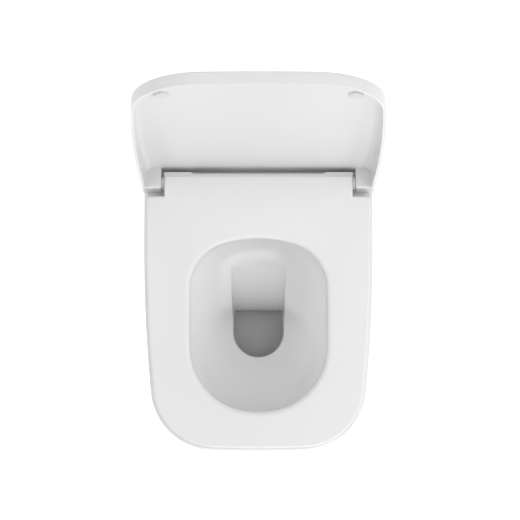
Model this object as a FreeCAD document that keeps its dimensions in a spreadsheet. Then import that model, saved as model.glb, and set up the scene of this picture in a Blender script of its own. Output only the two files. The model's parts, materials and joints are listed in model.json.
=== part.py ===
"""Wall hung toilet with a soft-close seat and lid, in millimetres.

The origin lies on the wall face, midway between the two wall bolts. +Z is up, +Y points into the wall and +X
is to the right of someone who faces the wall. The seat is down and the lid stands open.
"""

import FreeCAD, Part
import math
import os
import re
import Sketcher

Vector = FreeCAD.Vector

# Driving dimensions
SIZES = {
    # ceramic pan, seen from above
    "pan_width": 360,
    "pan_projection": 530,
    "side_straight": 200,
    "side_radius": 2400,
    "corner_radius": 100,
    "front_radius": 1700,
    # ceramic pan, seen from the side
    "rim_height": 85,
    "pan_height": 335,
    "lip_height": 40,
    "base_width": 230,
    "base_reach": 280,
    "body_fullness": 2.5,
    "shell_wall": 11,
    "deck_thickness": 12,
    "rim_round": 6,
    # bowl
    "bowl_side_margin": 42,
    "bowl_rear": 178,
    "bowl_front_margin": 43,
    "bowl_depth": 197,
    "bowl_wall": 10,
    "bowl_edge_round": 8,
    "sump_width": 92,
    "sump_front": 387,
    "sump_floor": 222,
    "sump_draft": 5,
    "shelf_from_wall": 299,
    "lip_from_wall": 302,
    "lip_depth": 148,
    "chute_top_from_wall": 235,
    "chute_top_depth": 30.4,
    "chute_radius": 180,
    # trap and water connections
    "trap_radius": 36,
    "crest_height": 47,
    "crest_from_wall": 160,
    "trap_bend": 52,
    "outlet_drop": 100,
    "outlet_radius": 51,
    "outlet_length": 45,
    "outlet_recess": 5,
    "inlet_height": 35,
    "inlet_radius": 27.5,
    "inlet_length": 60,
    "duct_radius": 20,
    # wall fixing
    "bolt_spacing": 180,
    "bolt_hole_radius": 6.5,
    "sleeve_wall": 3,
    "sleeve_flange": 3,
    "sleeve_clearance": 0.3,
    "boss_radius": 26,
    "boss_length": 62,
    "recess_length": 72,
    "recess_height": 60,
    "recess_inner": 60,
    "recess_round": 12,
    "washer_radius": 17,
    "washer_thickness": 4,
    "nut_across": 19,
    "nut_thickness": 10,
    "cap_wall": 2,
    "cap_length": 24,
    # hinge line and the pillars on the pan
    "axis_from_wall": 113,
    "axis_above_rim": 18,
    "hinge_spacing": 155,
    "hinge_hole_radius": 7.5,
    "pillar_radius": 6,
    "pillar_top_below_axis": 7.5,
    "pillar_flange_radius": 14,
    "pillar_flange": 2,
    "pillar_groove": 0.8,
    "seal_thickness": 0.8,
    "stud_radius": 4,
    "bush_length": 24,
    "bush_clearance": 0.3,
    "clamp_nut_radius": 6.8,
    "clamp_nut_length": 10,
    "clamp_nut_taper": 3.3,
    # hinge posts, shafts and dampers
    "post_width": 25,
    "post_radius": 11,
    "post_rear": 8.5,
    "post_nose": 20,
    "post_nose_drop": 3,
    "post_clearance": 0.2,
    "running_clearance": 0.08,
    "shaft_radius": 4,
    "damper_radius": 9,
    "damper_bite": 18,
    "collar_radius": 11,
    "side_clearance": 0.4,
    "button_radius": 4.5,
    "button_stem_radius": 2.5,
    "button_travel": 3,
    "key_width": 3,
    "key_height": 2,
    "sleeve_thickness": 2,
    "drive_radius": 6.5,
    "insert_radius": 8,
    "insert_depth": 16,
    # seat
    "seat_inset": 6,
    "seat_gap": 4,
    "seat_rear": 15.5,
    "seat_bevel_length": 8.5,
    "seat_bevel_drop": 5,
    "seat_heel": 15,
    "seat_skin": 6,
    "seat_wall": 8,
    "seat_edge_round": 4,
    "seat_roll": 8,
    "ear_band": 34,
    "seat_notch_front": 22,
    "seat_recess_width": 208,
    "seat_recess_depth": 3,
    "seat_slot_side": 3,
    "seat_slot_front": 27,
    "seat_slot_top": 1,
    "seat_corner": 5.5,
    "seat_web_front": 32,
    "opening_side_margin": 74.5,
    "opening_rear": 201,
    "opening_front_margin": 63,
    "opening_rear_radius": 190,
    "opening_front_radius": 138,
    "opening_rear_flat": 35.5,
    "opening_front_flat": 4.5,
    "buffer_radius": 10,
    "buffer_seat": 2,
    "buffer_rear_from_wall": 235,
    "buffer_front_margin": 120,
    "buffer_rear_inset": 22,
    "buffer_front_inset": 32,
    # lid
    "wedge_angle": 2.7,
    "plate_above_axis": 21,
    "plate_thickness": 5,
    "lid_gap": 4,
    "lid_skirt": 4.5,
    "lid_skirt_drop": 12,
    "lid_rear": 11,
    "lid_edge_round": 6,
    "lid_inner_round": 11,
    "lid_travel": 101.2,
    "ear_gap": 5,
    "ear_front": 13,
    "ear_round": 2.5,
    "lid_buffer_radius": 10.2,
    "lid_buffer_height": 3.7,
    "lid_buffer_base": 1.5,
    "lid_buffer_crown": 0.5,
    "lid_buffer_face": 5.5,
    "lid_buffer_front_margin": 74,
    "lid_buffer_inset": 52.5,
}

doc = FreeCAD.newDocument("WallHungToilet")
sheet = doc.addObject("Spreadsheet::Sheet", "Sizes")
for row, (name, value) in enumerate(SIZES.items(), start=1):
    sheet.set(f"A{row}", name)
    sheet.set(f"B{row}", str(value))
    sheet.setAlias(f"B{row}", name)
doc.recompute()

nodes = []

# How far cutting shapes run past the faces they cut, on small pieces and on the casting
OVERRUN = 1
PAST = 30

# How close counts as the same place, and how straight as the same direction
NEAR = 0.01
STRAIGHT = 0.99


# Working with the sheet
def formula(text):
    """The text with each size's name led by the sheet's, as an expression of the document."""
    return re.sub(r"\b[a-z]\w*", lambda word: f"Sizes.{word[0]}" if word[0] in SIZES else word[0], text)


def number(text):
    """The present value of a formula."""
    return float(sheet.evalExpression(formula(text)))


def bind(thing, **properties):
    """Tie properties of a document object to formulas."""
    for name, text in properties.items():
        thing.setExpression(name, formula(text))
    return thing


# Directions that a turned piece or a primitive can point in
UP = FreeCAD.Rotation()
RIGHT = FreeCAD.Rotation(Vector(0, 0, 1), Vector(1, 0, 0))
LEFT = FreeCAD.Rotation(Vector(0, 0, 1), Vector(-1, 0, 0))
TO_WALL = FreeCAD.Rotation(Vector(0, 0, 1), Vector(0, 1, 0))
FROM_WALL = FreeCAD.Rotation(Vector(0, 0, 1), Vector(0, -1, 0))
SIDE_VIEW = FreeCAD.Rotation(Vector(0, 1, 0), Vector(0, 0, 1), Vector(1, 0, 0), "ZXY")


def place(thing, at=("0", "0", "0"), rotation=UP):
    """Set an object's direction, and tie its position to three formulas."""
    thing.Placement = FreeCAD.Placement(Vector(), rotation)
    for axis, text in zip("xyz", at):
        thing.setExpression(f"Placement.Base.{axis}", formula(text))
    return thing


def node(thing, label):
    """Name a finished sub-part and list it for export."""
    thing.Label = label
    nodes.append(thing)
    return thing


# Sketches
def dimension(sketch, kind, places, text):
    """Add a constraint whose value follows a formula."""
    index = sketch.addConstraint(Sketcher.Constraint(kind, *places, number(text)))
    sketch.setExpression(f"Constraints[{index}]", formula(text))


def polygon(sketch, points):
    """Draw a closed outline of straight lines through points given as pairs of formulas."""
    corners = [Vector(number(x), number(y), 0) for x, y in points]
    count = len(corners)
    for index in range(count):
        sketch.addGeometry(Part.LineSegment(corners[index], corners[(index + 1) % count]))
    for index, (x, y) in enumerate(points):
        sketch.addConstraint(Sketcher.Constraint("Coincident", index, 2, (index + 1) % count, 1))
        dimension(sketch, "DistanceX", (-1, 1, index, 1), x)
        dimension(sketch, "DistanceY", (-1, 1, index, 1), y)


def arc(centre, start, end):
    """An arc drawn counter-clockwise about a centre."""
    first = math.atan2(start.y - centre.y, start.x - centre.x)
    last = math.atan2(end.y - centre.y, end.x - centre.x)
    circle = Part.Circle(centre, Vector(0, 0, 1), start.distanceToPoint(centre))
    return Part.ArcOfCircle(circle, first, last if last > first else last + 2 * math.pi)


def mirrored(point):
    return Vector(-point.x, point.y, point.z)


def corner_centre(front_centre, front_reach, side_centre, side_reach):
    """The centre of a corner arc that lies at known distances from the centres of its two neighbours."""
    line = side_centre - front_centre
    along = (front_reach**2 - side_reach**2 + line.Length**2) / (2 * line.Length)
    across = math.sqrt(front_reach**2 - along**2)
    unit = line / line.Length
    return front_centre + unit * along + Vector(-unit.y, unit.x, 0) * across


def body_outline(half, rear, bend, front, side_radius, corner_radius, front_radius):
    """An outline with a straight rear, sides that run straight and then bow in, and a blunt round front."""
    front_centre = Vector(0, front + front_radius, 0)
    side_centre = Vector(half - side_radius, bend, 0)
    front_reach = front_radius - corner_radius
    side_reach = side_radius - corner_radius
    corner = corner_centre(front_centre, front_reach, side_centre, side_reach)
    rear_corner = Vector(half, rear, 0)
    bend_point = Vector(half, bend, 0)
    side_end = corner + (corner - side_centre).normalize() * corner_radius
    front_end = corner + (corner - front_centre).normalize() * corner_radius
    return [
        Part.LineSegment(rear_corner, mirrored(rear_corner)),
        Part.LineSegment(mirrored(rear_corner), mirrored(bend_point)),
        arc(mirrored(side_centre), mirrored(bend_point), mirrored(side_end)),
        arc(mirrored(corner), mirrored(side_end), mirrored(front_end)),
        arc(front_centre, mirrored(front_end), front_end),
        arc(corner, front_end, side_end),
        arc(side_centre, side_end, bend_point),
        Part.LineSegment(bend_point, rear_corner),
    ]


def rim_sketch(name, inset, rear):
    """The rim's outline, drawn in by an inset and cut straight at the rear, about the hinge line."""
    half = f"pan_width / 2 - ({inset})"
    bend = "axis_from_wall - side_straight"
    front = f"axis_from_wall - pan_projection + ({inset})"
    radii = [f"{size} - ({inset})" for size in ("side_radius", "corner_radius", "front_radius")]
    sketch = doc.addObject("Sketcher::SketchObject", name)
    for piece in body_outline(number(half), number(rear), number(bend), number(front), *map(number, radii)):
        sketch.addGeometry(piece)
    for first, second in ((7, 0), (0, 1)):
        sketch.addConstraint(Sketcher.Constraint("Coincident", first, 2, second, 1))
    for first in range(1, 7):
        sketch.addConstraint(Sketcher.Constraint("Tangent", first, 2, first + 1, 1))
    sketch.addConstraint(Sketcher.Constraint("Horizontal", 0))
    for line in (1, 7):
        sketch.addConstraint(Sketcher.Constraint("Vertical", line))
    sketch.addConstraint(Sketcher.Constraint("PointOnObject", 4, 3, -2))
    for pieces, radius in (((2, 6), radii[0]), ((3, 5), radii[1]), ((4,), radii[2])):
        for piece in pieces:
            dimension(sketch, "Radius", (piece,), radius)
    dimension(sketch, "DistanceX", (-1, 1, 0, 1), half)
    dimension(sketch, "DistanceX", (-1, 1, 0, 2), f"-({half})")
    dimension(sketch, "DistanceY", (-1, 1, 0, 1), rear)
    dimension(sketch, "DistanceY", (-1, 1, 1, 2), bend)
    dimension(sketch, "DistanceY", (-1, 1, 7, 1), bend)
    dimension(sketch, "DistanceY", (-1, 1, 4, 3), f"{front} + {radii[2]}")
    return sketch


OPENING_HALF = "pan_width / 2 - opening_side_margin"


def opening_sketch(name, growth):
    """The seat's opening, widened all round by a growth, about the hinge line."""
    half = f"{OPENING_HALF} + ({growth})"
    rear = f"axis_from_wall - opening_rear + ({growth})"
    front = f"axis_from_wall - pan_projection + opening_front_margin - ({growth})"
    corners = [f"{OPENING_HALF} - {flat}" for flat in ("opening_rear_flat", "opening_front_flat")]
    radii = [f"{size} + ({growth})" for size in ("opening_rear_radius", "opening_front_radius", *corners)]
    rear_radius, front_radius, rear_turn, front_turn = map(number, radii)
    rear_centre = Vector(0, number(rear) - rear_radius, 0)
    front_centre = Vector(0, number(front) + front_radius, 0)
    rear_out = number(half) - rear_turn
    front_out = number(half) - front_turn
    rear_rise = math.sqrt((rear_radius - rear_turn) ** 2 - rear_out**2)
    front_fall = math.sqrt((front_radius - front_turn) ** 2 - front_out**2)
    rear_corner = Vector(rear_out, rear_centre.y + rear_rise, 0)
    front_corner = Vector(front_out, front_centre.y - front_fall, 0)
    rear_end = rear_corner + (rear_corner - rear_centre).normalize() * rear_turn
    front_end = front_corner + (front_corner - front_centre).normalize() * front_turn
    side_rear = rear_corner + Vector(rear_turn, 0, 0)
    side_front = front_corner + Vector(front_turn, 0, 0)
    pieces = [
        arc(rear_centre, rear_end, mirrored(rear_end)),
        arc(mirrored(rear_corner), mirrored(rear_end), mirrored(side_rear)),
        Part.LineSegment(mirrored(side_rear), mirrored(side_front)),
        arc(mirrored(front_corner), mirrored(side_front), mirrored(front_end)),
        arc(front_centre, mirrored(front_end), front_end),
        arc(front_corner, front_end, side_front),
        Part.LineSegment(side_front, side_rear),
        arc(rear_corner, side_rear, rear_end),
    ]
    sketch = doc.addObject("Sketcher::SketchObject", name)
    for piece in pieces:
        sketch.addGeometry(piece)
    for first in range(8):
        sketch.addConstraint(Sketcher.Constraint("Tangent", first, 2, (first + 1) % 8, 1))
    for line in (2, 6):
        sketch.addConstraint(Sketcher.Constraint("Vertical", line))
    for end in (0, 4):
        sketch.addConstraint(Sketcher.Constraint("PointOnObject", end, 3, -2))
    for sides, radius in (((0,), radii[0]), ((4,), radii[1]), ((1, 7), radii[2]), ((3, 5), radii[3])):
        for piece in sides:
            dimension(sketch, "Radius", (piece,), radius)
    dimension(sketch, "DistanceX", (-1, 1, 6, 1), half)
    dimension(sketch, "DistanceX", (-1, 1, 2, 1), f"-({half})")
    dimension(sketch, "DistanceY", (-1, 1, 0, 3), f"{rear} - ({radii[0]})")
    dimension(sketch, "DistanceY", (-1, 1, 4, 3), f"{front} + {radii[1]}")
    return sketch


# Solids from sketches and primitives
def extrude(name, sketch, forward, backward="0"):
    """A sketch pushed out along its normal, forwards and backwards."""
    solid = doc.addObject("Part::Extrusion", name)
    solid.Base = sketch
    solid.DirMode = "Normal"
    solid.Solid = True
    return bind(solid, LengthFwd=forward, LengthRev=backward)


def side_prism(name, points, half_width="pan_width"):
    """A bar along X whose section is given as points (y, z) in formulas."""
    sketch = doc.addObject("Sketcher::SketchObject", f"{name}Profile")
    sketch.Placement = FreeCAD.Placement(Vector(), SIDE_VIEW)
    polygon(sketch, points)
    return extrude(name, sketch, half_width, half_width)


def cylinder(name, radius, length, at, rotation=UP):
    solid = bind(doc.addObject("Part::Cylinder", name), Radius=radius, Height=length)
    return place(solid, at, rotation)


def hexagon(name, radius, length, at, rotation=UP):
    solid = doc.addObject("Part::Prism", name)
    solid.Polygon = 6
    return place(bind(solid, Circumradius=radius, Height=length), at, rotation)


def box(name, low, high):
    """A box between two corners given in formulas."""
    spans = [f"({top}) - ({bottom})" for bottom, top in zip(low, high)]
    solid = bind(doc.addObject("Part::Box", name), Length=spans[0], Width=spans[1], Height=spans[2])
    return place(solid, low)


def cut(name, base, *tools):
    """One solid less others."""
    solid = doc.addObject("Part::Cut", name)
    solid.Base = base
    solid.Tool = tools[0] if len(tools) == 1 else fuse(f"{name}Tools", *tools)
    return solid


def fuse(name, *pieces):
    solid = doc.addObject("Part::MultiFuse", name)
    solid.Shapes = list(pieces)
    return solid


def common(name, base, tool):
    solid = doc.addObject("Part::Common", name)
    solid.Base = base
    solid.Tool = tool
    return solid


def mirror(name, source):
    """The same piece on the other side of the middle plane."""
    copy = doc.addObject("Part::Mirroring", name)
    copy.Source = source
    copy.Normal = Vector(1, 0, 0)
    return copy


def group(name, *pieces):
    together = doc.addObject("Part::Compound", name)
    together.Links = list(pieces)
    return together


def rounded(name, base, radius, wanted):
    """A solid with the edges that a test picks rounded."""
    doc.recompute()
    solid = doc.addObject("Part::Fillet", name)
    solid.Base = base
    size = number(radius)
    solid.Edges = [(at, size, size) for at, edge in enumerate(base.Shape.Edges, start=1) if wanted(edge)]
    return solid


def turned(name, points, at=("0", "0", "0"), rotation=UP):
    """A lathe-turned body from its half section, as points (radius, length along the axis)."""
    body = doc.addObject("PartDesign::Body", name)
    sketch = body.newObject("Sketcher::SketchObject", f"{name}Section")
    plane = next(item for item in body.Origin.OriginFeatures if item.Role == "XZ_Plane")
    sketch.AttachmentSupport = [(plane, "")]
    sketch.MapMode = "FlatFace"
    polygon(sketch, points)
    turn = body.newObject("PartDesign::Revolution", f"{name}Turn")
    turn.Profile = sketch
    turn.ReferenceAxis = (sketch, ["V_Axis"])
    turn.Angle = 360
    return place(body, at, rotation)


def ring(inner, outer, length):
    """The half section of a plain ring."""
    return [(inner, "0"), (outer, "0"), (outer, length), (inner, length)]


def both_sides(piece, label):
    """A pair of like pieces, kept together as one sub-part."""
    return node(group(f"{piece.Name}Pair", piece, mirror(f"{piece.Name}Left", piece)), label)


def on_hinge(thing, label, opened=False):
    """Set a sub-part that is drawn about the hinge line in its place, turned up with the lid if opened."""
    turn = FreeCAD.Rotation(Vector(-1, 0, 0), number("lid_travel") if opened else 0)
    place(thing, ("0", "-axis_from_wall", "rim_height + axis_above_rim"), turn)
    return node(thing, label)


def freeform(name, shape):
    """A shape that only lofts and sweeps can give."""
    solid = doc.addObject("Part::Feature", name)
    solid.Shape = shape
    return solid


# Ceramic pan: how finely its free shapes are drawn, and how its bowl falls away with depth
BODY_LEVELS = 6
BOWL_LEVELS = 7
EGG_POINTS = 20
EGG_SQUARENESS = 2.3
SHELF_START = 0.43
SHELF_SPAN = 0.35
SHELF_SHARE = 0.75
SIDE_FALL = 1.9
FRONT_FALL = 2.3
FLARE_LEVELS = 4
FLARE_START = 0.4


def body_section(half, front, height, inset):
    """One level of the pan's outside, which runs through the wall face so that it can be cut flat there."""
    share = front / number("pan_projection")
    pieces = body_outline(
        half - inset,
        PAST,
        -number("side_straight") * share,
        inset - front,
        number("side_radius") - inset,
        number("corner_radius") - inset,
        number("front_radius") - inset,
    )
    wire = Part.Wire([piece.toShape() for piece in pieces])
    wire.translate(Vector(0, 0, height))
    return wire


def pan_body(inset, top_inset):
    """The pan's outside, drawn in by an inset: an upright lip over a hull that curves in to a small base."""
    half, base_half = number("pan_width / 2"), number("base_width / 2")
    reach, base_reach = number("pan_projection"), number("base_reach")
    top = number("rim_height") - top_inset
    lip = number("rim_height - lip_height")
    drop = number("pan_height - lip_height") - inset
    power = number("body_fullness")
    levels = [(half, reach, top), (half, reach, (top + lip) / 2)]
    for level in range(BODY_LEVELS + 1):
        fall = math.sin(level / BODY_LEVELS * math.pi / 2)
        fullness = (1 - fall**power) ** (1 / power)
        width = base_half + (half - base_half) * fullness
        front = base_reach + (reach - base_reach) * fullness
        levels.append((width, front, lip - drop * fall))
    return Part.makeLoft([body_section(*level, inset) for level in reversed(levels)], True)


def egg(half, rear, front, height):
    """A smooth level outline, fuller than an ellipse."""
    middle, half_length = (rear + front) / 2, (rear - front) / 2
    points = []
    for step in range(EGG_POINTS):
        turn = 2 * math.pi * step / EGG_POINTS
        across, along = math.cos(turn), math.sin(turn)
        x = math.copysign(abs(across) ** (2 / EGG_SQUARENESS), across) * half
        y = math.copysign(abs(along) ** (2 / EGG_SQUARENESS), along) * half_length
        points.append(Vector(x, middle + y, height))
    curve = Part.BSplineCurve()
    curve.interpolate(Points=points, PeriodicFlag=True)
    return Part.Wire([curve.toShape()])


def bowl_level(depth, growth):
    """The bowl's outline at a share of its depth: steep walls and a rear shelf, narrowing into the sump."""
    top_half, low_half = number("pan_width / 2 - bowl_side_margin"), number("sump_width / 2 - sump_draft")
    rear, front = -number("bowl_rear"), number("bowl_front_margin - pan_projection")
    low_rear, low_front = -number("shelf_from_wall"), number("sump_draft - sump_front")
    step = min(max((depth - SHELF_START) / SHELF_SPAN, 0), 1)
    shelf = step * step * (3 - 2 * step)
    rear_share = (1 - SHELF_SHARE) * depth + SHELF_SHARE * shelf
    half = top_half + (low_half - top_half) * depth**SIDE_FALL
    back = rear + (low_rear - rear) * rear_share
    ahead = front + (low_front - front) * depth**FRONT_FALL
    height = number("rim_height") - number("bowl_depth") * depth
    return egg(half + growth, back + growth, ahead - growth, height - growth * depth)


def bowl(growth):
    """The bowl's hollow, grown all round."""
    return Part.makeLoft([bowl_level(level / BOWL_LEVELS, growth) for level in range(BOWL_LEVELS + 1)], True)


def bowl_mouth():
    """A flare that softens the bowl's edge, and the space above it. It starts inside the bowl's hollow."""
    width = number("bowl_edge_round")
    levels = []
    for step in range(FLARE_LEVELS + 1):
        share = step / FLARE_LEVELS
        depth = 2 * width * (1 - share) / number("bowl_depth")
        levels.append(bowl_level(depth, width * ((1 + FLARE_START) * share**2 - FLARE_START)))
    top = levels[-1].copy()
    top.translate(Vector(0, 0, PAST))
    return Part.makeLoft(levels + [top], True, True)


def rounded_path(points, radius):
    """Straight runs in the middle plane joined by tangent arcs."""
    edges, start = [], points[0]
    for before, corner, after in zip(points, points[1:], points[2:]):
        back, on = (before - corner).normalize(), (after - corner).normalize()
        half_turn = back.getAngle(on) / 2
        run = radius / math.tan(half_turn)
        middle = (back + on).normalize()
        summit = corner + middle * (radius / math.sin(half_turn) - radius)
        edges.append(Part.makeLine(start, corner + back * run))
        edges.append(Part.Arc(corner + back * run, summit, corner + on * run).toShape())
        start = corner + on * run
    edges.append(Part.makeLine(start, points[-1]))
    return Part.Wire(edges)


def trap(growth, end):
    """The trap's tube: along the sump's floor, up over the crest and down to the outlet."""
    low = number("trap_radius - sump_floor")
    outlet = -number("outlet_drop")
    points = [
        Vector(0, -number("lip_from_wall") - number("trap_radius"), low),
        Vector(0, -number("lip_from_wall") + number("trap_radius"), low),
        Vector(0, -number("crest_from_wall"), -number("crest_height")),
        Vector(0, -number("outlet_length + trap_bend"), outlet),
        Vector(0, end, outlet),
    ]
    path = rounded_path(points, number("trap_bend"))
    circle = Part.Circle(points[0], Vector(0, 1, 0), number("trap_radius") + growth)
    return path.makePipeShell([Part.Wire([circle.toShape()])], True, False)


def sump_plan(half, rear, front, height):
    """A U with its round end to the front."""
    turn = front + half
    places = ((half, turn), (half, rear), (-half, rear), (-half, turn))
    corners = [Vector(x, y, height) for x, y in places]
    edges = [Part.makeLine(first, second) for first, second in zip(corners, corners[1:])]
    edges.append(Part.Arc(corners[3], Vector(0, front, height), corners[0]).toShape())
    return Part.Wire(edges)


def chute(growth):
    """The sump's rear wall in the middle plane: a shoulder that rolls off the bowl's shelf, and its lip."""
    lip = Vector(0, growth - number("lip_from_wall"), -number("lip_depth"))
    top = Vector(0, growth - number("chute_top_from_wall"), -number("chute_top_depth"))
    chord = top - lip
    radius = number("chute_radius")
    bulge = radius - math.sqrt(radius**2 - chord.Length**2 / 4)
    outward = Vector(0, -chord.z, chord.y).normalize()
    return top, lip + chord / 2 + outward * bulge, lip


def sump(growth):
    """The sump, grown all round: a tapered U in plan with a curved chute for its rear wall."""
    half, front = number("sump_width / 2") + growth, -number("sump_front") - growth
    floor = -number("sump_floor") - growth
    narrowing = number("sump_draft")
    well = Part.makeLoft(
        [
            sump_plan(half, 0, front, 0),
            sump_plan(half - narrowing, 0, front + narrowing, floor),
        ],
        True,
    )
    top, shoulder, lip = chute(growth)
    corners = [
        lip,
        Vector(0, lip.y, floor),
        Vector(0, front - PAST, floor),
        Vector(0, front - PAST, 0),
        Vector(0, top.y, 0),
        top,
    ]
    edges = [Part.makeLine(first, second) for first, second in zip(corners, corners[1:])]
    edges.append(Part.Arc(top, shoulder, lip).toShape())
    side = Part.Face(Part.Wire(edges))
    side.translate(Vector(-half - PAST, 0, 0))
    return well.common(side.extrude(Vector(2 * (half + PAST), 0, 0)))


def recess(growth):
    """The right-hand pocket in the pan's side that lets a spanner reach the wall nut."""
    name = "Recess" if growth == "0" else "RecessWall"
    low = ("recess_inner - {0}", "-boss_length - recess_length - {0}", "-recess_height / 2 - {0}")
    high = ("pan_width", "-boss_length + {0}", "recess_height / 2 + {0}")
    block = box(f"{name}Block", *([text.format(growth) for text in corner] for corner in (low, high)))
    return rounded(name, block, f"recess_round + {growth}", lambda edge: abs(edge.tangentAt(0).x) > STRAIGHT)


def ceramic_pan():
    """One casting: a hull open to the wall, with the bowl, the trap and the water connections inside it."""
    rim = number("rim_height")
    hull = rounded(
        "Hull",
        freeform("HullBlank", pan_body(0, 0)),
        "rim_round",
        lambda edge: edge.BoundBox.ZMin > rim - OVERRUN and edge.BoundBox.YMin < PAST - OVERRUN,
    )
    cavity_blank = freeform("CavityBlank", pan_body(number("shell_wall"), number("deck_thickness")))
    return cut("PanCasting", hull, cut("PanCavity", cavity_blank, pan_inside()), pan_hollows())


def to_wall(name, radius, length, x, y, z):
    """A round bar that points into the wall."""
    return cylinder(name, radius, length, (x, y, z), TO_WALL)


def pan_inside():
    """Everything that stands in the pan's cavity, as if it were solid."""
    wall = number("bowl_wall")
    boss_reach = f"boss_length + {PAST}"
    boss = to_wall("FixingBoss", "boss_radius", boss_reach, "bolt_spacing / 2", "-boss_length", "0")
    recess_wall = recess("bowl_wall")
    inlet_radius = "inlet_radius + bowl_wall"
    duct_radius = "duct_radius + bowl_wall"
    outlet_start = "-outlet_length - outlet_recess"
    return fuse(
        "PanInside",
        freeform("BowlWall", bowl(wall)),
        freeform("SumpWall", sump(wall)),
        freeform("TrapWall", trap(wall, -number("outlet_length"))),
        to_wall("OutletSpigot", "outlet_radius", "outlet_length", "0", outlet_start, "-outlet_drop"),
        to_wall("InletTube", inlet_radius, f"inlet_length + {PAST}", "0", "-inlet_length", "inlet_height"),
        to_wall("DuctTube", duct_radius, "bowl_rear", "0", "-bowl_rear - shell_wall", "inlet_height"),
        boss,
        mirror("FixingBossLeft", boss),
        recess_wall,
        mirror("RecessWallLeft", recess_wall),
    )


def pan_hollows():
    """Everything that is cut out of the pan besides its cavity."""
    hole_radius = "bolt_hole_radius + sleeve_wall + sleeve_clearance"
    hole_start = f"-boss_length - {PAST}"
    hole_reach = f"boss_length + {2 * PAST}"
    bolt_hole = to_wall("PanBoltHole", hole_radius, hole_reach, "bolt_spacing / 2", hole_start, "0")
    hinge_hole = cylinder(
        "PanHingeHole",
        "hinge_hole_radius",
        f"deck_thickness + {PAST}",
        ("hinge_spacing / 2", "-axis_from_wall", f"rim_height - deck_thickness - {OVERRUN}"),
    )
    side_recess = recess("0")
    outlet_radius = "outlet_radius - bowl_wall"
    outlet_reach = "outlet_length + outlet_recess"
    return fuse(
        "PanHollows",
        freeform("BowlHollow", bowl(0)),
        freeform("BowlMouth", bowl_mouth()),
        freeform("SumpHollow", sump(0)),
        freeform("TrapHollow", trap(0, 0)),
        to_wall("OutletBore", outlet_radius, outlet_reach, "0", f"-({outlet_reach})", "-outlet_drop"),
        to_wall("InletBore", "inlet_radius", f"inlet_length + {PAST}", "0", "-inlet_length", "inlet_height"),
        to_wall("DuctBore", "duct_radius", "bowl_rear", "0", "-bowl_rear - shell_wall", "inlet_height"),
        bolt_hole,
        mirror("PanBoltHoleLeft", bolt_hole),
        hinge_hole,
        mirror("PanHingeHoleLeft", hinge_hole),
        side_recess,
        mirror("RecessLeft", side_recess),
        box("BehindWall", ("-pan_width", "0", "-pan_height"), ("pan_width", f"{2 * PAST}", "pan_height")),
    )


node(ceramic_pan(), "ceramic_pan")


# Wall fixing kit: sleeve, washer, nut and cap on each side
def fixing_kit():
    """The pieces on each wall bolt, from the wall outwards. The bolts themselves stand in the wall."""
    out = "bolt_spacing / 2"
    sleeve_outer = "bolt_hole_radius + sleeve_wall"
    seat_face = "-boss_length - sleeve_flange"
    washer_face = f"{seat_face} - washer_thickness"
    nut_radius = "nut_across / (2 * cos(30 deg))"
    cap_inner = f"{nut_radius} + sleeve_clearance"
    sleeve = turned(
        "Sleeve",
        [
            ("bolt_hole_radius", "0"),
            ("washer_radius", "0"),
            ("washer_radius", "sleeve_flange"),
            (sleeve_outer, "sleeve_flange"),
            (sleeve_outer, "sleeve_flange + boss_length"),
            ("bolt_hole_radius", "sleeve_flange + boss_length"),
        ],
        (out, seat_face, "0"),
        TO_WALL,
    )
    washer = turned(
        "Washer",
        ring("bolt_hole_radius", "washer_radius", "washer_thickness"),
        (out, washer_face, "0"),
        TO_WALL,
    )
    nut_at = (out, f"{washer_face} - nut_thickness", "0")
    nut = cut(
        "Nut",
        hexagon("NutBlank", nut_radius, "nut_thickness", nut_at, TO_WALL),
        cylinder("NutBore", "bolt_hole_radius", "nut_thickness", nut_at, TO_WALL),
    )
    cap = turned(
        "Cap",
        [
            (cap_inner, "0"),
            (f"{cap_inner} + cap_wall", "0"),
            (f"{cap_inner} + cap_wall", "cap_length - cap_wall"),
            (cap_inner, "cap_length"),
            ("0", "cap_length"),
            ("0", "cap_length - cap_wall"),
            (cap_inner, "cap_length - cap_wall"),
        ],
        (out, washer_face, "0"),
        FROM_WALL,
    )
    for piece, label in ((sleeve, "sleeves"), (washer, "washers"), (nut, "nuts"), (cap, "caps")):
        both_sides(piece, f"fixing_{label}")


fixing_kit()


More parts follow.
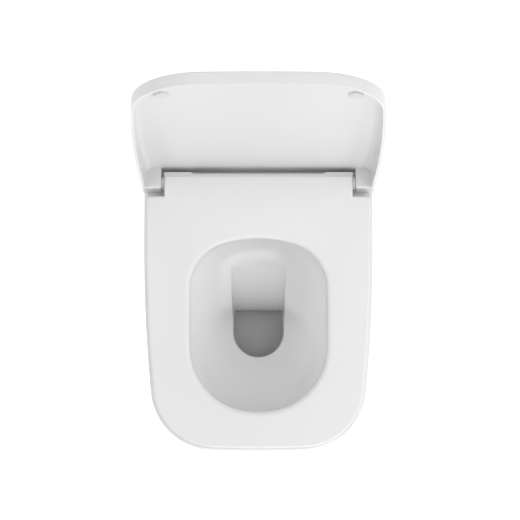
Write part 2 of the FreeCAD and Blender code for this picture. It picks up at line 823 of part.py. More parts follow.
# Pillars on the pan's deck, clamped from above by a bush that swells in the ceramic's hole
def pillars():
    """A pillar, its seal, its expanding bush and its clamp nut at each hinge hole."""
    at_hole = ("hinge_spacing / 2", "-axis_from_wall", "rim_height")
    flange_top = "seal_thickness + pillar_flange"
    top = "axis_above_rim - pillar_top_below_axis"
    groove = f"({flange_top} + {top}) / 2"
    stud_end = "-bush_length - clamp_nut_length - pillar_groove"
    stud_fit = "stud_radius + running_clearance"
    pillar = turned(
        "Pillar",
        [
            ("0", stud_end),
            ("stud_radius", stud_end),
            ("stud_radius", "seal_thickness"),
            ("pillar_flange_radius", "seal_thickness"),
            ("pillar_flange_radius", flange_top),
            ("pillar_radius", flange_top),
            ("pillar_radius", f"{groove} - pillar_groove"),
            ("pillar_radius - pillar_groove", f"{groove} - pillar_groove"),
            ("pillar_radius - pillar_groove", f"{groove} + pillar_groove"),
            ("pillar_radius", f"{groove} + pillar_groove"),
            ("pillar_radius", f"{top} - pillar_groove"),
            ("pillar_radius - pillar_groove", top),
            ("0", top),
        ],
        at_hole,
    )
    node(pillar, "hinge_pillar_right")
    node(mirror("PillarLeft", pillar), "hinge_pillar_left")
    seal = turned("Seal", ring(stud_fit, "pillar_flange_radius", "seal_thickness"), at_hole)
    both_sides(seal, "pillar_seals")
    bush = turned("Bush", ring(stud_fit, "hinge_hole_radius - bush_clearance", "-bush_length"), at_hole)
    both_sides(bush, "expanding_bushes")
    nut_foot = "-bush_length - clamp_nut_length"
    clamp_nut = turned(
        "ClampNut",
        [
            (stud_fit, nut_foot),
            ("clamp_nut_radius", nut_foot),
            ("clamp_nut_radius", "-bush_length - clamp_nut_taper"),
            ("clamp_nut_radius - pillar_groove", "-bush_length"),
            (stud_fit, "-bush_length"),
        ],
        at_hole,
    )
    both_sides(clamp_nut, "clamp_nuts")


pillars()

# Places along the hinge line, from the middle plane outwards
POST_INNER = "hinge_spacing / 2 - post_width / 2"
POST_OUTER = "hinge_spacing / 2 + post_width / 2"
SLOT_INNER = f"{POST_INNER} - seat_slot_side"
SLOT_OUTER = f"{POST_OUTER} + seat_slot_side"
BLOCK_SIDE = "pan_width / 2 - ear_band"
EAR_INNER = f"{BLOCK_SIDE} + ear_gap"
DAMPER_START = f"{SLOT_OUTER} + side_clearance"
COLLAR_START = f"{BLOCK_SIDE} + side_clearance"
COLLAR_END = f"{EAR_INNER} - side_clearance"
DRIVE_LENGTH = "insert_depth - side_clearance"
SHAFT_HEX = "(shaft_radius + side_clearance) / cos(30 deg)"

# Heights from the hinge line
POST_FOOT = "-(axis_above_rim - seal_thickness - pillar_flange - post_clearance)"
SEAT_FOOT = "-(axis_above_rim - seat_gap)"
BUTTON_HEIGHT = f"({POST_FOOT} - post_nose_drop) / 2"


# Hinge posts, which drop on to the pillars
def hinge_posts():
    """A block with an eye on the hinge line, a socket for the pillar and a nose that holds the button."""
    middle = "hinge_spacing / 2"
    lug = fuse(
        "PostLug",
        cylinder("PostEye", "post_radius", "post_width", (POST_INNER, "0", "0"), RIGHT),
        box("PostBlock", (POST_INNER, "-post_radius", POST_FOOT), (POST_OUTER, "post_rear", "0")),
        box("PostNose", (POST_INNER, "-post_nose", POST_FOOT), (POST_OUTER, "0", "-post_nose_drop")),
    )
    socket_top = "-pillar_top_below_axis + side_clearance"
    button_pocket = "button_travel + post_radius - pillar_radius"
    post = cut(
        "Post",
        lug,
        hexagon("PostHex", f"{SHAFT_HEX} + running_clearance", "post_width", (POST_INNER, "0", "0"), RIGHT),
        cylinder(
            "PostSocket",
            "pillar_radius + running_clearance",
            f"{socket_top} - ({POST_FOOT})",
            (middle, "0", POST_FOOT),
        ),
        cylinder(
            "ButtonPocket",
            "button_radius + running_clearance",
            button_pocket,
            (middle, "-post_nose", BUTTON_HEIGHT),
            TO_WALL,
        ),
        cylinder(
            "StemHole",
            "button_stem_radius + running_clearance",
            "post_nose",
            (middle, "-post_nose", BUTTON_HEIGHT),
            TO_WALL,
        ),
    )
    on_hinge(group("PostRight", post), "hinge_post_right")
    on_hinge(mirror("PostLeft", post), "hinge_post_left")


hinge_posts()


def release_buttons():
    """Push buttons that spread the clip on the pillar, one in the nose of each post."""
    head_start = "-post_nose - button_travel - side_clearance"
    head = "2 * button_travel + 2 * side_clearance"
    stem = "post_nose - pillar_radius"
    button = turned(
        "Button",
        [
            ("0", "0"),
            ("button_radius - side_clearance", "0"),
            ("button_radius", "side_clearance"),
            ("button_radius", head),
            ("button_stem_radius", head),
            ("button_stem_radius", stem),
            ("0", stem),
        ],
        ("hinge_spacing / 2", head_start, BUTTON_HEIGHT),
        TO_WALL,
    )
    on_hinge(group("ButtonRight", button), "release_button_right")
    on_hinge(mirror("ButtonLeft", button), "release_button_left")


release_buttons()


# Dampers on the hinge line: the left one works the seat, the right one the lid
def damper_shaft(side, direction, label):
    """A shaft with a hexagon end that the post holds still."""
    sign = "" if side == "Right" else "-"
    hexagon_end = f"{SLOT_OUTER} - seat_slot_side / 2"
    start = (f"{sign}({POST_INNER})", "0", "0")
    shaft = fuse(
        f"Shaft{side}",
        hexagon(f"ShaftHex{side}", SHAFT_HEX, f"{hexagon_end} - ({POST_INNER})", start, direction),
        cylinder(
            f"ShaftRod{side}",
            "shaft_radius",
            f"{DAMPER_START} + damper_bite - side_clearance - ({POST_INNER})",
            start,
            direction,
        ),
    )
    on_hinge(shaft, label)


def damper_barrel(side, direction):
    """A damper's housing with its shaft hole at one end and a collar at the other."""
    sign = "" if side == "Right" else "-"
    hole = "shaft_radius + running_clearance"
    collar = f"{COLLAR_START} - ({DAMPER_START})"
    end = f"{COLLAR_END} - ({DAMPER_START})"
    return turned(
        f"Barrel{side}",
        [
            (hole, "0"),
            ("damper_radius", "0"),
            ("damper_radius", collar),
            ("collar_radius", collar),
            ("collar_radius", end),
            ("0", end),
            ("0", "damper_bite"),
            (hole, "damper_bite"),
        ],
        (f"{sign}({DAMPER_START})", "0", "0"),
        direction,
    )


def damper_key(name, growth, shortening):
    """The rib along the left damper that makes it turn with the seat, or the keyway for it."""
    half = f"key_width / 2 + {growth}"
    return box(
        name,
        (f"-({BLOCK_SIDE}) + ({shortening})", f"-({half})", f"-damper_radius - key_height - {growth}"),
        (f"-({SLOT_OUTER}) - ({shortening})", half, "-damper_radius / 2"),
    )


damper_shaft("Left", LEFT, "seat_damper_shaft")
damper_shaft("Right", RIGHT, "lid_damper_shaft")


def seat_damper():
    """The left damper, keyed to the seat, with a plain pin for the lid's ear."""
    barrel = damper_barrel("Left", LEFT)
    pin = cylinder("DamperPin", "drive_radius", DRIVE_LENGTH, (f"-({COLLAR_END})", "0", "0"), LEFT)
    rib = damper_key("DamperRib", "0", "side_clearance")
    on_hinge(fuse("SeatDamper", barrel, pin, rib), "seat_damper_body")


seat_damper()


def lid_damper():
    """The right damper, which turns inside the seat and drives the lid's ear by a hexagon."""
    drive = hexagon("DamperDrive", "drive_radius", DRIVE_LENGTH, (COLLAR_END, "0", "0"), RIGHT)
    on_hinge(fuse("LidDamper", damper_barrel("Right", RIGHT), drive), "lid_damper_body", True)


lid_damper()


def ear_bearings():
    """The lid's plain bush on the left and its hexagon insert on the right."""
    bush = turned(
        "PivotBush",
        ring("drive_radius + running_clearance", "insert_radius", "insert_depth"),
        (f"-({EAR_INNER})", "0", "0"),
        LEFT,
    )
    on_hinge(group("PivotBushInEar", bush), "lid_pivot_bush", True)
    at_ear = (EAR_INNER, "0", "0")
    insert = cut(
        "DriveInsert",
        cylinder("InsertBlank", "insert_radius", "insert_depth", at_ear, RIGHT),
        hexagon("InsertHex", "drive_radius + running_clearance", "insert_depth", at_ear, RIGHT),
    )
    on_hinge(insert, "lid_drive_insert", True)


ear_bearings()


def bearing_sleeve():
    """The sleeve in the seat's right-hand block that the lid's damper turns in."""
    inner, outer = "damper_radius + running_clearance", "damper_radius + sleeve_thickness"
    section = ring(inner, outer, f"{BLOCK_SIDE} - ({SLOT_OUTER})")
    sleeve = turned("BearingSleeve", section, (SLOT_OUTER, "0", "0"), RIGHT)
    on_hinge(group("SleeveInSeat", sleeve), "seat_bearing_sleeve")


bearing_sleeve()


# Seat
SLOPE = "tan(wedge_angle * 1 deg)"
TALL = "axis_above_rim + plate_above_axis"
FRONT = "axis_from_wall - pan_projection"


def under_plate(y, below):
    """The height at a distance y from the hinge line of a plane that lies below the closed lid's plate."""
    return f"plate_above_axis - ({below}) + ({y}) * {SLOPE}"


def wedge(name, rear, foot, below):
    """A bar whose top slopes down to the front, parallel to the closed lid's plate."""
    return side_prism(
        name,
        [(rear, foot), (rear, under_plate(rear, below)), (FRONT, under_plate(FRONT, below)), (FRONT, foot)],
    )


def lies_on(below):
    """A test for edges that lie in a plane below the closed lid's plate."""
    rise = math.tan(math.radians(number("wedge_angle")))
    height = number(f"plate_above_axis - ({below})")

    def test(edge):
        return all(abs(vertex.Z - height - vertex.Y * rise) < NEAR for vertex in edge.Vertexes)

    return test


def seat_buffer_places():
    """Where the right-hand seat buffers sit, about the hinge line."""
    return [
        ("pan_width / 2 - buffer_rear_inset", "axis_from_wall - buffer_rear_from_wall", SEAT_FOOT),
        ("pan_width / 2 - buffer_front_inset", f"{FRONT} + buffer_front_margin", SEAT_FOOT),
    ]


def seat_blank():
    """The seat's outside: a wedge in the rim's outline, notched for the lid's ears, with a rolled opening."""
    bar = wedge("SeatBar", "seat_rear", SEAT_FOOT, "lid_gap")
    heel = number("seat_rear"), number(SEAT_FOOT)
    bar = rounded(
        "SeatHeeled",
        bar,
        "seat_heel",
        lambda edge: math.dist((edge.CenterOfMass.y, edge.CenterOfMass.z), heel) < NEAR,
    )
    plan = extrude("SeatPlan", rim_sketch("SeatOutline", "seat_inset", "2 * seat_rear"), TALL, TALL)
    notch = box(
        "EarNotch",
        (BLOCK_SIDE, "-seat_notch_front", f"-({TALL})"),
        ("pan_width", "4 * seat_rear", TALL),
    )
    dip_sketch = doc.addObject("Sketcher::SketchObject", "RearDipOutline")
    half_dip = "seat_recess_width / 2"
    polygon(
        dip_sketch,
        [
            (f"-({half_dip}) + seat_recess_depth", "seat_rear - seat_recess_depth"),
            (f"{half_dip} - seat_recess_depth", "seat_rear - seat_recess_depth"),
            (half_dip, "seat_rear"),
            (half_dip, f"seat_rear + {OVERRUN}"),
            (f"-({half_dip})", f"seat_rear + {OVERRUN}"),
            (f"-({half_dip})", "seat_rear"),
        ],
    )
    trimmed = cut(
        "SeatTrimmed",
        common("SeatSlab", plan, bar),
        notch,
        mirror("EarNotchLeft", notch),
        extrude("RearDip", dip_sketch, TALL, TALL),
        extrude("SeatOpening", opening_sketch("OpeningOutline", "0"), TALL, TALL),
    )
    cornered = rounded(
        "SeatCornered",
        trimmed,
        "seat_corner",
        lambda edge: abs(edge.tangentAt(edge.FirstParameter).z) > STRAIGHT
        and abs(edge.CenterOfMass.x) > number(BLOCK_SIDE) + OVERRUN
        and edge.CenterOfMass.y > -number("seat_notch_front") - OVERRUN,
    )
    top = lies_on("lid_gap")
    half = number(OPENING_HALF) + OVERRUN
    opening_rear = number("axis_from_wall - opening_rear") + OVERRUN
    dip = number("seat_rear - seat_recess_depth") - OVERRUN

    def opening_edge(edge):
        span = edge.BoundBox
        return top(edge) and max(span.XMax, -span.XMin) < half and span.YMax < opening_rear

    def outer_edge(edge):
        return top(edge) and not opening_edge(edge) and edge.CenterOfMass.y < dip

    edged = rounded("SeatEdged", cornered, "seat_edge_round", outer_edge)
    rolled = rounded("SeatRolled", edged, "seat_roll", opening_edge)
    bevel_start = "seat_rear - seat_bevel_length"
    bevel_end = f"seat_rear + {OVERRUN}"
    bevel_foot = under_plate("seat_rear", "lid_gap + seat_bevel_drop")
    bevel = side_prism(
        "RearBevel",
        [
            (bevel_start, under_plate(bevel_start, "lid_gap")),
            ("seat_rear", bevel_foot),
            (bevel_end, bevel_foot),
            (bevel_end, TALL),
            (bevel_start, TALL),
        ],
    )
    return cut("SeatBlank", rolled, bevel)


def seat_ring():
    """The seat, hollow underneath, with bearing blocks on the hinge line and slots for the posts."""
    buffer_boss = "buffer_radius + seat_wall / 2"
    bosses = [
        cylinder(f"BufferBoss{index}", buffer_boss, TALL, place_at)
        for index, place_at in enumerate(seat_buffer_places())
    ]
    bosses += [mirror(f"{boss.Name}Left", boss) for boss in bosses]
    hollow_plan = extrude(
        "HollowPlan", rim_sketch("HollowOutline", "seat_inset + seat_wall", "-seat_web_front"), TALL, TALL
    )
    hollow = cut(
        "SeatHollow",
        common("HollowSlab", hollow_plan, wedge("HollowBar", "0", f"-({TALL})", "lid_gap + seat_skin")),
        extrude("OpeningWall", opening_sketch("OpeningWallOutline", "seat_wall"), TALL, TALL),
        *bosses,
    )
    sockets = [
        cylinder(f"BufferSocket{index}", "buffer_radius + running_clearance", "buffer_seat", place_at)
        for index, place_at in enumerate(seat_buffer_places())
    ]
    sockets += [mirror(f"{socket.Name}Left", socket) for socket in sockets]
    slot_top = "post_radius + seat_slot_top"
    slot = box(
        "PostSlot",
        (SLOT_INNER, "-seat_slot_front", f"-({TALL})"),
        (SLOT_OUTER, "2 * seat_rear", slot_top),
    )
    middle = box(
        "MiddleHollow",
        (f"-({SLOT_INNER}) + seat_wall", "-seat_slot_front", f"-({TALL})"),
        (f"{SLOT_INNER} - seat_wall", "seat_rear - seat_recess_depth - seat_wall", slot_top),
    )
    bore_length = f"{BLOCK_SIDE} - ({SLOT_OUTER}) + 2 * {OVERRUN}"
    right_bore = cylinder(
        "SleeveBore",
        "damper_radius + sleeve_thickness + running_clearance",
        bore_length,
        (f"{SLOT_OUTER} - {OVERRUN}", "0", "0"),
        RIGHT,
    )
    left_bore = cylinder(
        "DamperBore",
        "damper_radius + running_clearance",
        bore_length,
        (f"-({SLOT_OUTER}) + {OVERRUN}", "0", "0"),
        LEFT,
    )
    ring_body = cut(
        "SeatMoulding",
        seat_blank(),
        hollow,
        *sockets,
        slot,
        mirror("PostSlotLeft", slot),
        middle,
        right_bore,
        left_bore,
        damper_key("Keyway", "running_clearance", f"-{OVERRUN}"),
    )
    on_hinge(ring_body, "seat_ring")


seat_ring()


def seat_buffers():
    """Four soft buffers between the seat and the rim."""
    section = [
        ("0", "-seat_gap"),
        ("buffer_radius - buffer_seat", "-seat_gap"),
        ("buffer_radius", "-seat_gap + buffer_seat"),
        ("buffer_radius", "buffer_seat"),
        ("0", "buffer_seat"),
    ]
    buffers = [turned(f"SeatBuffer{index}", section, at) for index, at in enumerate(seat_buffer_places())]
    buffers += [mirror(f"{buffer.Name}Left", buffer) for buffer in buffers]
    on_hinge(group("SeatBuffers", *buffers), "seat_buffers")


seat_buffers()


# Lid, drawn closed and then turned up about the hinge line
def lid_shell():
    """A wedge-shaped cover with a skirt round three sides and a solid ear at each rear corner."""
    foot = "-lid_skirt_drop"
    blank = common(
        "LidSlab",
        extrude("LidPlan", rim_sketch("LidOutline", "0", "lid_rear"), TALL, TALL),
        wedge("LidBar", "2 * lid_rear", foot, "-plate_thickness"),
    )
    blank = rounded("LidBlank", blank, "lid_edge_round", lies_on("-plate_thickness"))
    inner_top = lies_on("0")
    cavity = common(
        "LidHollow",
        extrude("LidHollowPlan", rim_sketch("LidHollowOutline", "lid_skirt", "3 * lid_rear"), TALL, TALL),
        wedge("LidHollowBar", "4 * lid_rear", f"-({TALL})", "0"),
    )
    cavity = rounded(
        "LidHollowRound",
        cavity,
        "lid_inner_round",
        lambda edge: inner_top(edge) and edge.CenterOfMass.y < 2 * number("lid_rear"),
    )
    ear_block = box(
        "EarBlock",
        (EAR_INNER, "-ear_front", foot),
        ("pan_width", "lid_rear", f"plate_above_axis + {OVERRUN}"),
    )

    def under_ear(edge):
        """One of the ear's lower edges, without the outer one, which lies beyond the lid."""
        lower = edge.BoundBox.ZMax < number(foot) + NEAR
        return lower and edge.BoundBox.XMin < number(EAR_INNER) + NEAR

    ear_block = rounded("EarRounded", ear_block, "ear_round", under_ear)
    ear = common("Ear", ear_block, blank)
    right_bore = cylinder(
        "EarBore",
        "insert_radius + running_clearance",
        "insert_depth + running_clearance",
        (EAR_INNER, "0", "0"),
        RIGHT,
    )
    shell = cut(
        "LidMoulding",
        fuse("LidWithEars", cut("LidShell", blank, cavity), ear, mirror("EarLeft", ear)),
        right_bore,
        mirror("EarBoreLeft", right_bore),
    )
    on_hinge(shell, "lid_shell", True)


lid_shell()


def lid_buffers():
    """Two soft buffers inside the lid that meet the seat when it closes."""
    tilt = math.radians(number("wedge_angle"))
    square_to_plate = FreeCAD.Rotation(Vector(0, 0, 1), Vector(0, math.sin(tilt), -math.cos(tilt)))
    section = [
        ("0", "0"),
        ("lid_buffer_radius", "0"),
        ("lid_buffer_radius", "lid_buffer_base"),
        ("lid_buffer_radius - lid_buffer_base", "lid_buffer_height - lid_buffer_crown"),
        ("lid_buffer_face", "lid_buffer_height"),
        ("0", "lid_buffer_height"),
    ]
    along = f"{FRONT} + lid_buffer_front_margin"
    at = ("pan_width / 2 - lid_buffer_inset", along, under_plate(along, "0"))
    buffer = turned("LidBuffer", section, at, square_to_plate)
    on_hinge(group("LidBuffers", buffer, mirror("LidBufferLeft", buffer)), "lid_buffers", True)


lid_buffers()


# Checks and files
doc.recompute()
for thing in doc.Objects:
    if any(word in thing.State for word in ("Invalid", "Error")):
        raise RuntimeError(f"{thing.Name} failed: {thing.State}")
for thing in nodes:
    if thing.Shape.isNull() or not thing.Shape.isValid():
        raise RuntimeError(f"{thing.Label} has no valid shape")
os.makedirs("parts", exist_ok=True)
for thing in nodes:
    thing.Shape.exportStep(f"parts/{thing.Label}.step")
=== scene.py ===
"""A wall hung toilet seen from above: looks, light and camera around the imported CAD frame, in metres."""

import json
import math

import bpy
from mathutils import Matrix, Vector

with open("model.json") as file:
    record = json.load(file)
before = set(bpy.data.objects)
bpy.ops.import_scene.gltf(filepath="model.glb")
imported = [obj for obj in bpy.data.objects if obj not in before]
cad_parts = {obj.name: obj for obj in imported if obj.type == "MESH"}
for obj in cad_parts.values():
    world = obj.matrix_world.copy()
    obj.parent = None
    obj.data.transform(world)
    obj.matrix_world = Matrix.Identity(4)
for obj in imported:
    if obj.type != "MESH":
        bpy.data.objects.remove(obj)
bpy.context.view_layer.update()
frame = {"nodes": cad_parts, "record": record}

WHITE = (1, 1, 1, 1)

# Nearly all of a noise texture lies between these two values
NOISE_LOW = 0.3
NOISE_HIGH = 0.7


# Shader building blocks
def grey(level):
    """A neutral colour."""
    return (level, level, level)


def new_material(name):
    """A new material with its node tree and its Principled shader."""
    material = bpy.data.materials.new(name)
    material.use_nodes = True
    tree = material.node_tree
    shader = tree.nodes["Principled BSDF"]
    return material, tree, shader


def object_coordinates(tree):
    """Coordinates in metres that stay with the object when it moves."""
    return tree.nodes.new("ShaderNodeTexCoord").outputs["Object"]


def object_place(tree, stretch=(1, 1, 1)):
    """Object coordinates, multiplied along each axis. More than one makes a pattern finer along it."""
    mapping = tree.nodes.new("ShaderNodeMapping")
    mapping.inputs["Scale"].default_value = stretch
    tree.links.new(object_coordinates(tree), mapping.inputs["Vector"])
    return mapping.outputs["Vector"]


def noise(tree, place, wavelength, detail=3.0):
    """Smooth noise whose blotches are about a wavelength across, in metres."""
    texture = tree.nodes.new("ShaderNodeTexNoise")
    texture.inputs["Scale"].default_value = 1 / wavelength
    texture.inputs["Detail"].default_value = detail
    tree.links.new(place, texture.inputs["Vector"])
    return texture.outputs["Fac"]


def spread(tree, value, low, high):
    """A noise value stretched over a range."""
    ramp = tree.nodes.new("ShaderNodeMapRange")
    ramp.inputs["From Min"].default_value = NOISE_LOW
    ramp.inputs["From Max"].default_value = NOISE_HIGH
    ramp.inputs["To Min"].default_value = low
    ramp.inputs["To Max"].default_value = high
    tree.links.new(value, ramp.inputs["Value"])
    return ramp.outputs["Result"]


def tint(tree, value, dark, light):
    """Two colours mixed by a noise value or by a mask."""
    ramp = tree.nodes.new("ShaderNodeValToRGB")
    start, end = ramp.color_ramp.elements
    start.position = NOISE_LOW
    start.color = (*dark, 1)
    end.position = NOISE_HIGH
    end.color = (*light, 1)
    tree.links.new(value, ramp.inputs["Fac"])
    return ramp.outputs["Color"]


def inside(tree, centre, radii, skin):
    """A mask: one inside an ellipsoid, falling to nought through its skin, which is a share of the radii."""
    mapping = tree.nodes.new("ShaderNodeMapping")
    mapping.vector_type = "TEXTURE"
    mapping.inputs["Location"].default_value = centre
    mapping.inputs["Scale"].default_value = radii
    gradient = tree.nodes.new("ShaderNodeTexGradient")
    gradient.gradient_type = "SPHERICAL"
    ramp = tree.nodes.new("ShaderNodeMapRange")
    ramp.inputs["From Max"].default_value = skin
    tree.links.new(object_coordinates(tree), mapping.inputs["Vector"])
    tree.links.new(mapping.outputs["Vector"], gradient.inputs["Vector"])
    tree.links.new(gradient.outputs["Fac"], ramp.inputs["Value"])
    return ramp.outputs["Result"]


def below(tree, height, fade):
    """A mask: nought above a height, rising to one within a fade below it, both in metres."""
    split = tree.nodes.new("ShaderNodeSeparateXYZ")
    ramp = tree.nodes.new("ShaderNodeMapRange")
    ramp.inputs["From Min"].default_value = height
    ramp.inputs["From Max"].default_value = height - fade
    tree.links.new(object_coordinates(tree), split.inputs["Vector"])
    tree.links.new(split.outputs["Z"], ramp.inputs["Value"])
    return ramp.outputs["Result"]


def both(tree, first, second):
    """A mask: one only where two masks are."""
    multiply = tree.nodes.new("ShaderNodeMath")
    multiply.operation = "MULTIPLY"
    tree.links.new(first, multiply.inputs[0])
    tree.links.new(second, multiply.inputs[1])
    return multiply.outputs["Value"]


def bump(tree, shader, height, depth):
    """Raise a surface by a height field, with its depth in metres."""
    relief = tree.nodes.new("ShaderNodeBump")
    relief.inputs["Distance"].default_value = depth
    tree.links.new(height, relief.inputs["Height"])
    tree.links.new(relief.outputs["Normal"], shader.inputs["Normal"])


def finish_surface(tree, shader, color, roughness):
    """Link a colour and a roughness that vary over the surface."""
    tree.links.new(color, shader.inputs["Base Color"])
    tree.links.new(roughness, shader.inputs["Roughness"])


# Glaze with painted light: painted lighter in an ellipsoid round the bowl, below the rim, against the bowl's
# shade, and painted darker over the rim and outer edges, against their strong light
BOWL_CENTRE = (0, -0.31, 0.06)
BOWL_RADII = (0.175, 0.235, 0.34)
BOWL_SKIN = 0.35
RIM_HEIGHT = 0.085
RIM_FADE = 0.03


def white_glaze():
    """Fired glaze with a slow ripple, and painted light: painted white in the bowl, where shade falls, and
    painted darker over the outer edges, which catch the most light.
    """
    material, tree, shader = new_material("white_glaze")
    place = object_place(tree)
    bowl = inside(tree, BOWL_CENTRE, BOWL_RADII, BOWL_SKIN)
    painted_light_mask = both(tree, bowl, below(tree, RIM_HEIGHT, RIM_FADE))
    # Painted light: the darker grey is on the rim and outer edges, the lighter grey is in the shaded bowl
    color = tint(tree, painted_light_mask, dark=grey(0.67), light=grey(0.94))
    roughness = spread(tree, noise(tree, place, wavelength=0.08, detail=0), low=0.18, high=0.22)
    finish_surface(tree, shader, color, roughness)
    shader.inputs["Coat Weight"].default_value = 0.1
    shader.inputs["Coat Roughness"].default_value = 0.06
    bump(tree, shader, noise(tree, place, wavelength=0.05, detail=0), depth=0.0004)
    return material


# Seat and lid
def seat_plastic():
    """Pressed thermoset: an even white with a softer gloss and a barely wavy skin."""
    material, tree, shader = new_material("seat_plastic")
    place = object_place(tree)
    color = tint(tree, noise(tree, place, wavelength=0.25, detail=0), dark=grey(0.675), light=grey(0.685))
    roughness = spread(tree, noise(tree, place, wavelength=0.12, detail=0), low=0.30, high=0.34)
    finish_surface(tree, shader, color, roughness)
    shader.inputs["Specular IOR Level"].default_value = 0.35
    bump(tree, shader, noise(tree, place, wavelength=0.08, detail=0), depth=0.00004)
    return material


# Small plastic parts, by material slot, with the size of the grain in metres
PLASTICS = {
    "damper_plastic": dict(dark=grey(0.63), light=grey(0.67), roughness=0.42, grain=0.0008),
    "bearing_plastic": dict(dark=(0.70, 0.70, 0.68), light=(0.75, 0.75, 0.73), roughness=0.36, grain=0.0010),
    "hinge_plastic": dict(dark=grey(0.63), light=grey(0.69), roughness=0.44, grain=0.0008),
    "button_plastic": dict(dark=(0.16, 0.165, 0.17), light=(0.19, 0.195, 0.20), roughness=0.28, grain=0.0010),
    "fixing_plastic": dict(dark=(0.74, 0.73, 0.68), light=(0.79, 0.78, 0.73), roughness=0.46, grain=0.0012),
    "cap_plastic": dict(dark=grey(0.80), light=grey(0.84), roughness=0.24, grain=0.0012),
}
PLASTIC_ROUGHNESS_SPAN = 0.06
GRAIN_SIZE_TO_DEPTH = 60


def moulded_plastic(name, dark, light, roughness, grain):
    """A moulded plastic with a fine grain."""
    material, tree, shader = new_material(name)
    place = object_place(tree)
    color = tint(tree, noise(tree, place, wavelength=0.006), dark, light)
    low, high = roughness - PLASTIC_ROUGHNESS_SPAN, roughness + PLASTIC_ROUGHNESS_SPAN
    finish_surface(tree, shader, color, spread(tree, noise(tree, place, wavelength=0.003), low, high))
    bump(tree, shader, noise(tree, place, grain), grain / GRAIN_SIZE_TO_DEPTH)
    return material


# Rubbers, by material slot, with the share of the light that goes into them
RUBBERS = {
    "soft_buffer": dict(dark=grey(0.59), light=grey(0.63), translucency=0.3),
    "black_rubber": dict(dark=grey(0.02), light=grey(0.035), translucency=0.0),
    "grey_rubber": dict(dark=(0.46, 0.47, 0.48), light=(0.52, 0.53, 0.54), translucency=0.1),
}
RUBBER_LIGHT_REACH = 0.003


def soft_rubber(name, dark, light, translucency):
    """A matt elastomer that lets a little light into it."""
    material, tree, shader = new_material(name)
    place = object_place(tree)
    color = tint(tree, noise(tree, place, wavelength=0.004), dark, light)
    roughness = spread(tree, noise(tree, place, wavelength=0.002), low=0.5, high=0.66)
    finish_surface(tree, shader, color, roughness)
    shader.inputs["Subsurface Weight"].default_value = translucency
    shader.inputs["Subsurface Radius"].default_value = (1, 1, 1)
    shader.inputs["Subsurface Scale"].default_value = RUBBER_LIGHT_REACH
    bump(tree, shader, noise(tree, place, wavelength=0.0006), depth=0.00003)
    return material


# Metals, by material slot
METALS = {
    "steel": dict(dark=(0.52, 0.53, 0.54), light=(0.62, 0.63, 0.64), roughness=0.30),
    "brass": dict(dark=(0.70, 0.50, 0.22), light=(0.80, 0.60, 0.30), roughness=0.28),
}
METAL_ROUGHNESS_SPAN = 0.08
LEVEL_MARKS = (1, 1, 12)


def turned_metal(name, dark, light, roughness):
    """A metal with fine tool marks that run level."""
    material, tree, shader = new_material(name)
    place = object_place(tree, LEVEL_MARKS)
    color = tint(tree, noise(tree, place, wavelength=0.01), dark, light)
    low, high = roughness - METAL_ROUGHNESS_SPAN, roughness + METAL_ROUGHNESS_SPAN
    finish_surface(tree, shader, color, spread(tree, noise(tree, place, wavelength=0.003), low, high))
    shader.inputs["Metallic"].default_value = 1.0
    bump(tree, shader, noise(tree, place, wavelength=0.0015), depth=0.00003)
    return material


# The frame's materials
def slot_materials():
    """Every material of the record, by its slot."""
    materials = {"white_glaze": white_glaze(), "seat_plastic": seat_plastic()}
    for make, looks in ((moulded_plastic, PLASTICS), (soft_rubber, RUBBERS), (turned_metal, METALS)):
        for slot, look in looks.items():
            materials[slot] = make(slot, **look)
    return materials


def dress_frame():
    """Give each CAD node the material of its slot in the record."""
    materials = slot_materials()
    slots = {entry["node"]: entry["material_slot"] for entry in frame["record"]["subparts"]}
    for name, thing in frame["nodes"].items():
        thing.data.materials.clear()
        thing.data.materials.append(materials[slots[name]])


# Floor, well below the pan, which hangs
FLOOR_HALF = 20.0
FLOOR_HEIGHT = -0.40
FLOOR_GLOW = 0.27


def floor_white():
    """A matt white that glows a little, so that the floor stays white in the picture."""
    material, tree, shader = new_material("floor_white")
    place = object_place(tree)
    color = tint(tree, noise(tree, place, wavelength=0.5), dark=grey(0.90), light=grey(0.92))
    roughness = spread(tree, noise(tree, place, wavelength=0.1), low=0.7, high=0.8)
    finish_surface(tree, shader, color, roughness)
    shader.inputs["Emission Color"].default_value = WHITE
    shader.inputs["Emission Strength"].default_value = FLOOR_GLOW
    return material


def pale_floor():
    """A wide square floor."""
    sides = ((-1, -1), (1, -1), (1, 1), (-1, 1))
    corners = [(x * FLOOR_HALF, y * FLOOR_HALF, FLOOR_HEIGHT) for x, y in sides]
    mesh = bpy.data.meshes.new("floor")
    mesh.from_pydata(corners, [], [(0, 1, 2, 3)])
    mesh.materials.append(floor_white())
    floor = bpy.data.objects.new("floor", mesh)
    bpy.context.scene.collection.objects.link(floor)


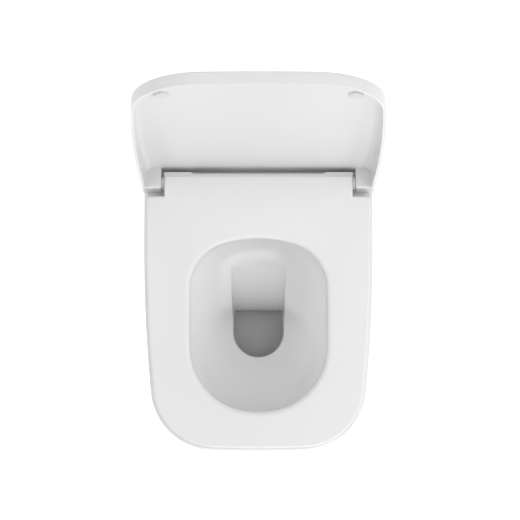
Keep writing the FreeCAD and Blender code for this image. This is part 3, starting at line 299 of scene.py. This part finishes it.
# Light, with each box's side in metres and its power in watts
MIDDLE = (0, -0.3, 0)
SOFT_BOXES = {
    "top": dict(place=(0.2, -0.4, 2.6), target=MIDDLE, size=1.6, power=5),
    "left": dict(place=(-1.3, -0.3, 1.7), target=MIDDLE, size=1.8, power=14),
    "right": dict(place=(1.3, -0.3, 1.7), target=MIDDLE, size=1.8, power=18),
    "low_left": dict(place=(-1.7, -0.6, 0.7), target=MIDDLE, size=1.6, power=6),
    "low_right": dict(place=(1.7, -0.6, 0.7), target=MIDDLE, size=1.6, power=8),
    "front": dict(place=(0.4, -2.1, 0.6), target=(0, -0.15, 0.2), size=1.7, power=22),
    "back": dict(place=(0, 2.0, 1.5), target=(0, 0, 0.4), size=2.0, power=18),
}
SURROUND_STRENGTH = 0.3


def soft_box(name, place, target, size, power):
    """A large square lamp that faces a target."""
    lamp = bpy.data.lights.new(name, "AREA")
    lamp.size = size
    lamp.energy = power
    thing = bpy.data.objects.new(name, lamp)
    thing.location = place
    thing.rotation_euler = (Vector(target) - Vector(place)).to_track_quat("-Z", "Y").to_euler()
    bpy.context.scene.collection.objects.link(thing)


def studio_light():
    """An even white surround with soft boxes overhead, at both sides, in front and behind the lid."""
    world = bpy.data.worlds.new("studio")
    world.use_nodes = True
    background = world.node_tree.nodes["Background"]
    background.inputs["Color"].default_value = WHITE
    background.inputs["Strength"].default_value = SURROUND_STRENGTH
    bpy.context.scene.world = world
    for name, box in SOFT_BOXES.items():
        soft_box(name, **box)


# Camera, fitted to the photograph: nearly straight above, leaning a little towards the wall
IMAGE_SIDE = 520
FOCAL_PIXELS = 1279
MIDDLE_OFFSET_PIXELS = 1.5
SENSOR_WIDTH = 36
CAMERA_PLACE = (0, -0.382, 2.085)
CAMERA_LEAN = math.radians(4.29)


def photo_camera():
    """The camera that took the photograph, as far as the object's outline tells."""
    lens = bpy.data.cameras.new("camera")
    lens.sensor_width = SENSOR_WIDTH
    lens.lens = FOCAL_PIXELS / IMAGE_SIDE * SENSOR_WIDTH
    lens.shift_x = MIDDLE_OFFSET_PIXELS / IMAGE_SIDE
    camera = bpy.data.objects.new("camera", lens)
    camera.location = CAMERA_PLACE
    camera.rotation_euler = (CAMERA_LEAN, 0, 0)
    bpy.context.scene.collection.objects.link(camera)
    bpy.context.scene.camera = camera


dress_frame()
pale_floor()
studio_light()
photo_camera()
bpy.context.scene.view_settings.view_transform = "Standard"
